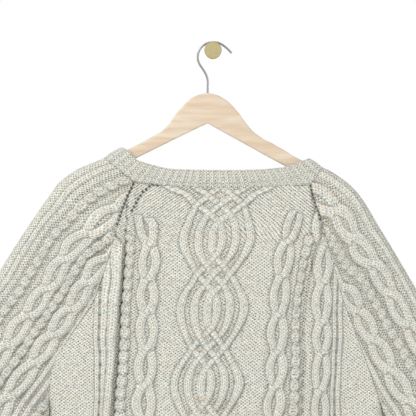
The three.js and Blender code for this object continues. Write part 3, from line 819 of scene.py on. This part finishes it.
def drawn_metal(name, colour, roughness, mottle):
    """Drawn or turned metal, dulled by handling."""
    material, tree = new_material(name)
    place = node(tree, "ShaderNodeTexCoord").outputs["Object"]
    wear = node(tree, "ShaderNodeTexNoise", {"Vector": place, "Scale": 260.0, "Detail": 4.0})
    tone = node(tree, "ShaderNodeMix", {0: wear.outputs[0], MIX_A: linear(colour),
                                        MIX_B: linear(mottle)}, data_type="RGBA")
    rough = node(tree, "ShaderNodeMapRange", {"Value": wear.outputs[0], "To Min": roughness,
                                              "To Max": roughness + 0.15})
    shader = node(tree, "ShaderNodeBsdfPrincipled", {
        "Base Color": tone.outputs[MIX_RESULT],
        "Roughness": rough.outputs[0], "Metallic": 1.0})
    node(tree, "ShaderNodeOutputMaterial", {"Surface": shader.outputs[0]})
    return material


WOOL = knitted_wool()
WOOD = hanger_wood()
STEEL = drawn_metal("drawn_steel_wire", "A7AAB0", 0.28, "8F9298")
BRASS = drawn_metal("dull_brass", "C8BD94", 0.45, "B4A678")


# ---- The knitted pieces -------------------------------------------------------------------

def sections_between(levels, first, last, pitches):
    """Section numbers from first to last. levels is the height of each section, and pitches
    gives the spacing of the rows against height."""
    fine = np.linspace(first, last, 2000)
    height = np.abs(monotone(levels, fine) - levels[0])
    spacing = np.interp(monotone(levels, fine), *pitches)
    steps = np.concatenate([[0], np.cumsum(np.abs(np.diff(height)) / spacing[1:])])
    count = int(round(steps[-1] / INNER_STEP)) * INNER_STEP
    return np.interp(np.linspace(0, steps[-1], count + 1), steps, fine)


# Row spacing against height, or against the way down a sleeve: fine towards the neck, coarser
# towards the hem and the cuffs.
FINE_ROWS = ([-640, -590, -300, -280, -150], [4.2, 2.05, 2.05, 1.5, 1.5])
SOFT_ROWS = ([-640, -590, -150], [3.6, 2.5, 2.5])
SLEEVE_ROWS = ([-900, -460, -420, 0], [3.4, 3.2, 2.1, 2.1])
HEM_ROWS = ([-900, 0], [3.0, 3.0])
CUFF_ROWS = ([-900, 0], [2.6, 2.6])
CUFF_RIB = 11.5


# The columns of the body's pattern, in millimetres of knitting from the middle. Each ribbed
# column has a row of holes, and how dark their painted shade is goes with it.
INNER_CHAIN, OUTER_CHAIN, OUTER_SWAY = 102, 170, 10.2
LEFT_ROPE, RIGHT_ROPE = -134.5, 129
RIGHT_FOLD = 141
HOLED_RIBS = [(-204, 0.45), (196, 0.15)]
# The left rope's repeat, which its row of holes shares.
ROPE_REPEAT = {"pitch": 18.5, "shift": 17.8}

# How the columns on either side bend outwards towards the neck: (down, shift across).
LEFT_DRIFT = [(248, -16), (269, -6), (298, 0)]
RIGHT_DRIFT = [(248, 24), (266, 17), (300, 6), (324, 1), (344, -1), (380, -2)]
ROPE_DRIFT = [(270, 24), (298, 17), (330, 9), (362, 4), (393, 1), (420, 0)]
GROOVE_DRIFT = [(285, 25), (301, 20), (324, 14), (344, 8.5), (371, 5), (396, 3), (419, 0)]

# Lines of eyelets beside the raglan seams, where the rows were decreased.
EYELETS = [
    [(-143.5, -180), (-136.6, -189), (-130.5, -191), (-126.5, -195), (-121.3, -202.6),
     (-122.8, -207.2), (-127.4, -216.4), (-132, -225.6), (-137.4, -239.5), (-141.2, -250.2),
     (-147.4, -268.6)],
    [(-82.1, -208.3), (-89, -206.6), (-95.2, -207.2), (-99.8, -211.8), (-107.5, -218),
     (-113.6, -227.2), (-118.8, -236.4), (-122.8, -244), (-127.4, -251.7)],
    [(148.9, -205.7), (152, -219.5), (155, -230.3), (158.1, -241), (162.1, -251.7),
     (165, -264)],
]


def knit_body(points, across, down, face):
    steps = np.linalg.norm(np.diff(points, axis=1), axis=-1)
    ground = np.concatenate([np.zeros((len(steps), 1)), np.cumsum(steps, axis=1)], axis=1)
    ground = ground - ground[:, [ground.shape[1] // 2]]
    knitting = Knitting(across, down, ground if face == "back" else -ground)
    knitting.lean = -0.5 * np.clip(across / 35, -1, 1) * lerp(0.1, 1, smooth((330 - down) / 110))
    knitting.diamonds(0, LATTICE_LEVELS)
    levels = CHAIN_LEVELS
    knitting.chain(-INNER_CHAIN, levels["left"], start=248, drift=LEFT_DRIFT)
    knitting.chain(INNER_CHAIN, levels["right"], start=242, drift=RIGHT_DRIFT)
    knitting.chain(OUTER_CHAIN, levels["outer"], sway=OUTER_SWAY)
    if face == "front":
        knitting.chain(-OUTER_CHAIN, levels["outer"], sway=OUTER_SWAY)
    knitting.rope(LEFT_ROPE, start=278, half_width=5.4, sway=3.2, **ROPE_REPEAT)
    knitting.rope(RIGHT_ROPE, shift=3, start=280, drift=ROPE_DRIFT)
    for centre, hole in HOLED_RIBS:
        knitting.rib(centre - 4.6, 3.6, 1.5)
        knitting.rib(centre + 4.6, 3.6, 1.5)
        knitting.dots(centre, pitch=19.2, shift=2.6, depth=hole)
    # Grooves beside the ropes and in the fold, with painted shade in them.
    knitting.groove(RIGHT_FOLD, 5.0, 1.9, painted_dark=1.1, drift=GROOVE_DRIFT)
    knitting.groove(LEFT_ROPE + 9, 1.2, 3.0, painted_dark=0.55)
    knitting.groove(LEFT_ROPE - 7.5, 1.2, 2.6, painted_dark=0.8)
    if face == "back":
        knitting.rib(-190, 5.4, 1.6)
        knitting.dots(PLEAT_INSIDE, depth=0.75, **ROPE_REPEAT)
        # Inside the pleat the relief is flattened, with a little painted shade on it.
        hidden = smooth((across - PLEAT_EDGE) / 3) * smooth((PLEAT_INSIDE - across) / 3)
        knitting.height = knitting.height * (1 - hidden)
        knitting.painted_dark = np.maximum(knitting.painted_dark, 0.15 * hidden)
    # Painted shade on the knitting just under the neckband, across its middle, where it is
    # gathered.
    below_band = np.linalg.norm(points - points[:1], axis=-1)
    under_band_shade = 0.7 * smooth((75 - np.abs(points[..., 0])) / 15)
    knitting.painted_dark = np.maximum(knitting.painted_dark,
                               under_band_shade * np.exp(-((below_band - 2) / 2.5) ** 2))
    seam_eyelets(knitting, points)
    soften_edges(knitting, points)
    return knitting


FAR_AWAY = 1e4


def seam_eyelets(knitting, points):
    """The eyelets of the back. Points on the front are put too far away to be marked."""
    x = np.where(points[..., 1] > HANG_Y, FAR_AWAY, points[..., 0])
    for line in EYELETS:
        knitting.eyelets(x, points[..., 2], line)


def soften_edges(knitting, points, run=7):
    """The relief fades out over the last few millimetres before each seam."""
    for axis in (0, 1):
        steps = np.linalg.norm(np.diff(points, axis=axis), axis=-1)
        along = np.cumsum(np.insert(steps, 0, 0, axis=axis), axis=axis)
        total = along.take([-1], axis=axis)
        knitting.height = knitting.height * smooth(np.minimum(along, total - along) / run)


def knit_rib(across, down, pitch=2 * STITCH, rise=2.0):
    """Single rib: one knit column, one purl column. pitch is the width of the two."""
    knitting = Knitting(across, down)
    share = (across / pitch + 0.5) % 1 - 0.5
    dome = np.sqrt(np.clip(1 - (share / 0.36) ** 2, 0, 1))
    knitting.height = rise * dome
    knitting.knit = (dome > 0).astype(float)
    knitting.wale = np.where(dome > 0, share / 0.5 + 0.5, across / STITCH)
    knitting.course = down / ROW
    return knitting


SLEEVE_PATTERNS = {
    "left": [
        ("rib", 16, {}), ("rope", 42, {"shift": 2}), ("chain", 76, {"first": 51}),
        ("rope", 99, {"shift": 8}), ("chain", 124, {"first": 55}), ("rib", 147, {}),
        ("rib", 160, {}), ("rope", 176, {"shift": 2}),
    ],
    "right": [
        ("rib", 9, {}), ("chain", 37, {"first": 48}), ("rope", 65, {"shift": 4}),
        ("chain", 96, {"first": 33}), ("rib", 120, {}), ("rope", 136, {"shift": 1}),
    ],
}
# The sleeves' grooves: place across, depth, width and the painted shade in each.
SLEEVE_GROOVES = {
    "left": [(32.5, 2.5, 2.4, 0.6), (52.5, 2.5, 2.4, 0.6), (91, 1.6, 2, 0.3),
             (107, 1.8, 2, 0.3), (140, 2, 2.5, 0.3)],
    "right": [(21, 1.2, 1.8, 0.5), (54, 2.4, 2.2, 0.9), (75, 2.2, 2.2, 0.8),
              (113, 2, 2.5, 0.7)],
}
SLEEVE_CHAIN_PITCH = 57
# The columns stand further apart towards the shoulder: how much, against the way down.
SLEEVE_SPREAD = {
    "left": ([40, 80, 110, 140], [1.2, 1.17, 1.1, 1.0]),
    "right": ([60, 130, 165, 200, 260], [1.25, 1.18, 1.02, 0.97, 1.0]),
}


def knit_sleeve(points, across, down, side):
    spread = np.interp(down, *SLEEVE_SPREAD[side])
    knitting = Knitting(across / spread, down, across)
    for sign in (1, -1):
        for kind, centre, extra in SLEEVE_PATTERNS[side]:
            if kind == "chain":
                levels = np.arange(extra["first"], 720, SLEEVE_CHAIN_PITCH)
                knitting.chain(sign * centre, levels)
            elif kind == "rope":
                knitting.rope(sign * centre, shift=extra["shift"])
            else:
                knitting.rib(sign * centre)
        for centre, depth, width, painted_dark in SLEEVE_GROOVES[side]:
            knitting.groove(sign * centre, depth, width, painted_dark=painted_dark)
    seam_eyelets(knitting, points)
    soften_edges(knitting, points)
    return knitting


def make_body(face, rows, count):
    first = sections_between(BODY["axis_z"], 0, RIB_JOIN, rows)
    points, across, down = body_surface(face, first, count)
    knitting = knit_body(points, across, down, face)
    panel = cloth_piece(f"{face}_cloth", points, knitting, WOOL)
    second = sections_between(BODY["axis_z"], RIB_JOIN, HEM_END, HEM_ROWS)
    points, across, down = body_surface(face, second, count)
    hem = cloth_piece(f"hem_rib_{face}_cloth", points, knit_rib(across, down), WOOL)
    return panel, hem


def make_sleeve(side, back_count, front_count):
    table = SLEEVES[side]
    run = -run_of(np.stack([table["top_x"], table["top_z"]], axis=-1))
    first = sections_between(run, 0, CUFF_JOIN, SLEEVE_ROWS)
    points, across, down = sleeve_surface(side, first, back_count, front_count)
    knitting = knit_sleeve(points, across, down, side)
    sleeve = cloth_piece(f"sleeve_{side}_cloth", points, knitting, WOOL)
    second = sections_between(run, CUFF_JOIN, CUFF_END, CUFF_ROWS)
    points, across, down = sleeve_surface(side, second, back_count // 2 + 1,
                                          front_count // 2 + 1)
    cuff = cloth_piece(f"cuff_{side}_cloth", points, knit_rib(across, down, CUFF_RIB), WOOL)
    return sleeve, cuff


# The neckband's upper edge, from corner to corner, and how far it stands off the hanger.
BAND_TOP = {
    "back": columns("x z depth", [
        [-139, -150, 0], [-136, -151, 8], [-129, -154, 11.5], [-118, -167, 13],
        [-104, -173, 14], [-93, -176, 14], [-72, -181, 15], [-52, -183, 15], [0, -184, 16],
        [41, -184, 16], [75, -183, 15], [87, -182, 15], [111, -179, 14], [129, -173, 13],
        [139, -169, 11.5], [145, -167, 8], [147, -167, 0],
    ]),
    "front": columns("x z depth", [
        [-139, -150, 0], [-137, -155, 9], [-131, -168, 12], [-118, -189, 13],
        [-95, -212, 14], [-60, -230, 15], [5, -238, 16], [70, -231, 15], [105, -215, 14],
        [128, -195, 13], [140, -178, 11.5], [145, -170, 8], [147, -167, 0],
    ]),
}


# How far the band's ribs stand out, half a rib's share of the repeat, and the levels of the
# ring. The section is the share of the depth, how far out, and how much of the rib shows.
BAND_RIB = 1.2
RIB_HALF = 0.27
BAND_LEVELS = 8
BAND_SECTION = [
    (0.0, -0.9, 0.2), (0.02, 0.3, 0.5), (0.08, 0.9, 0.8), (0.2, 1.1, 1), (0.35, 1.2, 1),
    (0.5, 1.2, 1), (0.65, 1.1, 1), (0.8, 0.6, 0.9), (0.92, 0.25, 0.5), (1.05, 0.3, 0.1),
    (1.0, -3.0, 0), (0.8, -3.2, 0), (0.55, -3.3, 0), (0.3, -3.3, 0), (0.12, -3.2, 0),
    (0.03, -2.8, 0), (0.0, -1.9, 0),
]


def resampled(points, count):
    """A polyline sampled evenly along its length."""
    run = run_of(points)
    at = np.linspace(0, run[-1], count)
    return np.stack([np.interp(at, run, points[:, i]) for i in range(3)], axis=-1)


def make_neckband(count=260):
    """A closed ring: each section is a flat loop of cloth, rounded at its upper edge."""
    share = np.linspace(0, 1, 200)
    lower, upper = {}, {}
    for face in ("back", "front"):
        halves = {}
        for side in ("left", "right"):
            x, z, depth, _ = sleeve_half(side, face, 0.0, 60)
            halves[side] = np.stack([x, z, depth], axis=-1)
        x, z, depth, _ = body_row(0.0, face, share)
        middle = np.stack([x, z, depth], axis=-1)
        line = np.concatenate([halves["left"][:-1], middle, halves["right"][::-1][1:]])
        sign = -1 if face == "back" else 1
        lower[face] = np.stack([line[:, 0], HANG_Y + sign * line[:, 2], line[:, 1]], axis=-1)
        table = BAND_TOP[face]
        fine = np.linspace(0, len(table["x"]) - 1, 300)
        upper[face] = np.stack([flowing(table["x"], fine),
                                HANG_Y + sign * monotone(table["depth"], fine),
                                flowing(table["z"], fine)], axis=-1)
    ring = {}
    for name, edge in (("lower", lower), ("upper", upper)):
        back = resampled(edge["back"], count + 1)[:-1]
        front = resampled(edge["front"][::-1], count + 1)[:-1]
        ring[name] = np.concatenate([back, front])
    levels = np.linspace(0, 1, BAND_LEVELS + 1)
    face_points = np.stack([lerp(ring["upper"], ring["lower"], t) for t in levels])
    normals = grid_normals(face_points, ring=True)
    height = np.linalg.norm(ring["lower"] - ring["upper"], axis=1)
    circumference = np.linalg.norm(np.roll(ring["lower"], -1, axis=0) - ring["lower"],
                                   axis=1).sum()
    ribs = round(circumference / (2 * STITCH))
    place = np.arange(2 * count) / (2 * count)
    wave = 0.5 + 0.5 * np.cos(2 * math.pi * ribs * place)
    rows = []
    for t, out, rib in BAND_SECTION:
        i = min(int(t * BAND_LEVELS), BAND_LEVELS - 1)
        base = lerp(face_points[i], face_points[i + 1], t * BAND_LEVELS - i)
        normal = lerp(normals[i], normals[i + 1], t * BAND_LEVELS - i)
        rows.append(base + normal * (out + BAND_RIB * rib * wave)[:, None])
    grid = np.array(rows)
    index = np.arange(grid.shape[0] * grid.shape[1]).reshape(grid.shape[:2])
    looped = np.concatenate([index, index[:1]], axis=0)
    looped = np.concatenate([looped, looped[:, :1]], axis=1)
    piece = mesh("neckband_cloth", grid.reshape(-1, 3), quads(looped).tolist(), WOOL)
    section = np.array(BAND_SECTION)
    knitting = Knitting(place[None, :] * ribs * 2 * STITCH + 0 * section[:, :1],
                        section[:, :1] * height[None, :])
    rib_share = (ribs * place + 0.5) % 1 - 0.5
    outside = section[:, 2:3] > 0
    knitting.knit = (np.abs(rib_share)[None, :] < RIB_HALF) * outside * 1.0
    on_rib = rib_share[None, :] / (2 * RIB_HALF) + 0.5
    knitting.wale = np.where(knitting.knit > 0, on_rib, knitting.wale)
    # Painted shade in the furrows between the ribs.
    knitting.shade = 0.6 * np.clip(0.45 - wave, 0, 1)[None, :] * outside
    add_values(piece, knitting)
    return piece


# Each count of columns is one more than a multiple of INNER_STEP, and so is half of it on the
# sleeves, whose cuffs have half as many.
back, hem_back = make_body("back", FINE_ROWS, count=361)
front, hem_front = make_body("front", SOFT_ROWS, count=265)
sleeve_left, cuff_left = make_sleeve("left", back_count=157, front_count=85)
sleeve_right, cuff_right = make_sleeve("right", back_count=145, front_count=81)
neckband = make_neckband()


# ---- Hanger, hook and peg -----------------------------------------------------------------

# The board's outline: its upper and lower edge from tip to tip.
BOARD = columns("x top bottom", [
    [-230, -199.3, -221.3], [-214, -191, -213], [-196, -181.5, -203.5],
    [-176, -172.9, -194.9], [-150, -161.7, -183.7], [-128, -151.2, -171],
    [-104, -139, -159.2], [-79, -125.3, -147], [-69, -115.6, -142], [-57, -98.5, -136],
    [-46, -86, -130.8], [-35, -75.4, -125.4], [-23, -69, -119.5], [-8, -66, -112.6],
    [5, -68.4, -120.1], [14, -73, -125.1], [25, -80.8, -131.1], [40, -97, -139.4],
    [50, -111.5, -145], [61, -124.5, -150.9], [76, -135.8, -159.5], [98, -147.6, -171.3],
    [134, -167.8, -191], [156, -176.8, -198.8], [172, -186.2, -208.2], [186, -194.8, -216.8],
    [202, -203.4, -225.4],
])


def make_board(thickness=12, rounding=3.2, tip_length=5, count=220, turns=5):
    """The hanger's board: sections with rounded corners, closed by rounded tips."""
    x = np.linspace(BOARD["x"][0], BOARD["x"][-1], count)
    at = np.interp(x, BOARD["x"], np.arange(len(BOARD["x"])))
    top = flowing(BOARD["top"], at)
    bottom = np.interp(x, BOARD["x"], BOARD["bottom"])
    from_tip = np.minimum(x - x[0], x[-1] - x)
    tip = np.sqrt(np.clip(1 - (1 - np.clip(from_tip / tip_length, 0, 1)) ** 2, 0.04, 1))
    middle, half = (top + bottom) / 2, (top - bottom) / 2 * tip
    deep = thickness / 2 * tip
    rings = []
    for corner in range(4):
        for a in np.linspace(0, math.pi / 2, turns) + corner * math.pi / 2:
            side = (1, -1, -1, 1)[corner], (1, 1, -1, -1)[corner]
            r = np.minimum(rounding, np.minimum(half, deep))
            depth = side[0] * (deep - r) + r * np.cos(a)
            z = middle + side[1] * (half - r) + r * np.sin(a)
            rings.append(np.stack([x, HANG_Y + depth, z], axis=-1))
    grid = np.array(rings)
    index = np.arange(grid.shape[0] * grid.shape[1]).reshape(grid.shape[:2])
    looped = np.concatenate([index, index[:1]], axis=0)
    caps = [index[::-1, 0].tolist(), index[:, -1].tolist()]
    return mesh("hanger_board", grid.reshape(-1, 3), quads(looped[::-1]).tolist() + caps, WOOD)


board = make_board()
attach(board, "root")
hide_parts("hanger")
for name, material in (("hanger_hook", STEEL), ("wall_peg", BRASS)):
    node_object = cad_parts[name]
    node_object.data.materials.clear()
    node_object.data.materials.append(material)


# ---- Putting the pieces in place of the model's parts -------------------------------------

CLOTH_PIECES = [
    (back, "back", (0.585, 0.58), 0.256),
    (front, "front", (0.56, 0.555), 0.232),
    (hem_back, "hem_rib_back", (0.575, 0.06), 0.032),
    (hem_front, "hem_rib_front", (0.55, 0.06), 0.0305),
    (sleeve_left, "sleeve_left", (0.43, 0.63), 0.189),
    (cuff_left, "cuff_left", (0.247, 0.072), 0.0156),
    (sleeve_right, "sleeve_right", (0.337, 0.61), 0.146),
    (cuff_right, "cuff_right", (0.247, 0.069), 0.0151),
    (neckband, "neckband", (0.80, 0.028), 0.021),
]
for piece, cad_node, flat, area in CLOTH_PIECES:
    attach(piece, "root")
    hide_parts(cad_node)


# ---- Floor, light and camera --------------------------------------------------------------

def stage():
    world = bpy.data.worlds.new("studio")
    bpy.context.scene.world = world
    world.use_nodes = True
    tree = world.node_tree
    tree.nodes.clear()
    ray = node(tree, "ShaderNodeLightPath").outputs["Is Camera Ray"]
    soft = node(tree, "ShaderNodeBackground", {"Color": (1, 1, 1, 1), "Strength": 0.76})
    seen = node(tree, "ShaderNodeBackground", {"Color": (1, 1, 1, 1), "Strength": 1.0})
    mixed = node(tree, "ShaderNodeMixShader", {0: ray, 1: soft.outputs[0], 2: seen.outputs[0]})
    node(tree, "ShaderNodeOutputWorld", {"Surface": mixed.outputs[0]})

    floor_material, floor_tree = new_material("pale_floor")
    shader = node(floor_tree, "ShaderNodeBsdfPrincipled", {"Base Color": linear("F2F2F0"),
                                                           "Roughness": 0.9})
    node(floor_tree, "ShaderNodeOutputMaterial", {"Surface": shader.outputs[0]})
    size, height = 3000, -1350
    corners = [[-size, -size, height], [size, -size, height], [size, size, height],
               [-size, size, height]]
    floor = mesh("floor", corners, [[0, 1, 2, 3]], floor_material)


# Each area light's name, place, side and watts. All of them face the sweater.
LIGHT_AIM = (0, -0.06, -0.4)
LIGHTS = [
    ("key", (-1.5, -1.6, 1.0), 1.0, 31),
    ("fill", (1.6, -2.0, 0.2), 1.4, 14),
    ("far_side", (0.9, 2.2, -0.5), 1.4, 16),
]


def light(name, place, side, power):
    data = bpy.data.lights.new(name, "AREA")
    data.shape = "RECTANGLE"
    data.size = side
    data.size_y = side
    data.energy = power
    lamp = bpy.data.objects.new(name, data)
    bpy.context.scene.collection.objects.link(lamp)
    lamp.location = place
    direction = Vector(np.array(LIGHT_AIM) - np.array(place))
    lamp.rotation_euler = direction.to_track_quat("-Z", "Y").to_euler()


stage()
for lamp_values in LIGHTS:
    light(*lamp_values)

# The view is VIEW_WIDTH metres wide in a plane VIEW_DEPTH in front of the hanger's.
VIEW_WIDTH = 0.6386
VIEW_CENTRE = (-0.0077, -0.2425)
VIEW_DEPTH = 0.006
LENS = 400
SENSOR = 36
camera_data = bpy.data.cameras.new("camera")
camera_data.lens = LENS
camera_data.sensor_width = SENSOR
camera = bpy.data.objects.new("camera", camera_data)
bpy.context.scene.collection.objects.link(camera)
distance = VIEW_WIDTH * LENS / SENSOR
camera.location = (VIEW_CENTRE[0], HANG_Y * MM - VIEW_DEPTH - distance, VIEW_CENTRE[1])
camera.rotation_euler = (math.pi / 2, 0, 0)
bpy.context.scene.camera = camera
bpy.context.scene.view_settings.view_transform = "Standard"
bpy.context.scene.view_settings.look = "None"
